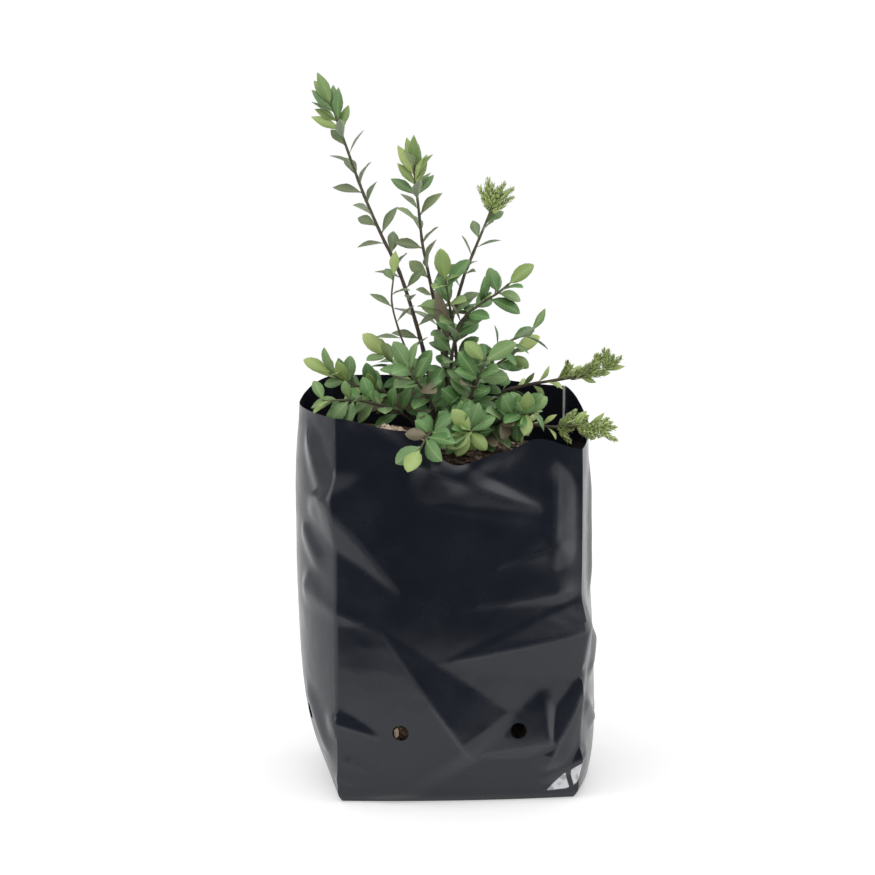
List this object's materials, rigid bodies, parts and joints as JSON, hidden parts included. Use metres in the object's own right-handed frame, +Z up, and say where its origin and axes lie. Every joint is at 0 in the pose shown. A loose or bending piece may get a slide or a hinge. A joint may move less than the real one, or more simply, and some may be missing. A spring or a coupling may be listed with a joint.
{
  "type": "nursery polybag",
  "caption": "Black gusseted film plant bag with punched drainage holes, a flat base and an open rim, full of potting mix with a leafy plant growing in it.",
  "frame": {"origin": "middle of the flat base, on the surface that the bag stands on", "axes": "+Z up; the wide front panel of the bag faces -Y; +X to the right as the front is seen"},
  "size_m": [0.1766, 0.1302, 0.3723],
  "materials": {
    "black_film": "black low-density polythene film, glossy, creased",
    "potting_mix": "moist potting mix of peat and bark crumbs",
    "leafy_stem": "living green leaves, satin, on thin brown-green stems"
  },
  "bodies": {
    "root": {"film_bag": "black_film", "potting_mix": "potting_mix", "stem_tall_left": "leafy_stem", "stem_thin_left": "leafy_stem", "stem_middle": "leafy_stem", "stem_right": "leafy_stem", "stem_right_low": "leafy_stem", "stem_arching_right": "leafy_stem", "runner_left": "leafy_stem", "runner_left_low": "leafy_stem", "stem_back_left": "leafy_stem", "stem_front_left": "leafy_stem", "stem_front_right": "leafy_stem", "stem_front": "leafy_stem", "stem_centre": "leafy_stem", "stem_right_front": "leafy_stem", "stem_right_back": "leafy_stem", "runner_right": "leafy_stem", "runner_right_low": "leafy_stem", "runner_front": "leafy_stem"}
  },
  "joints": []
}
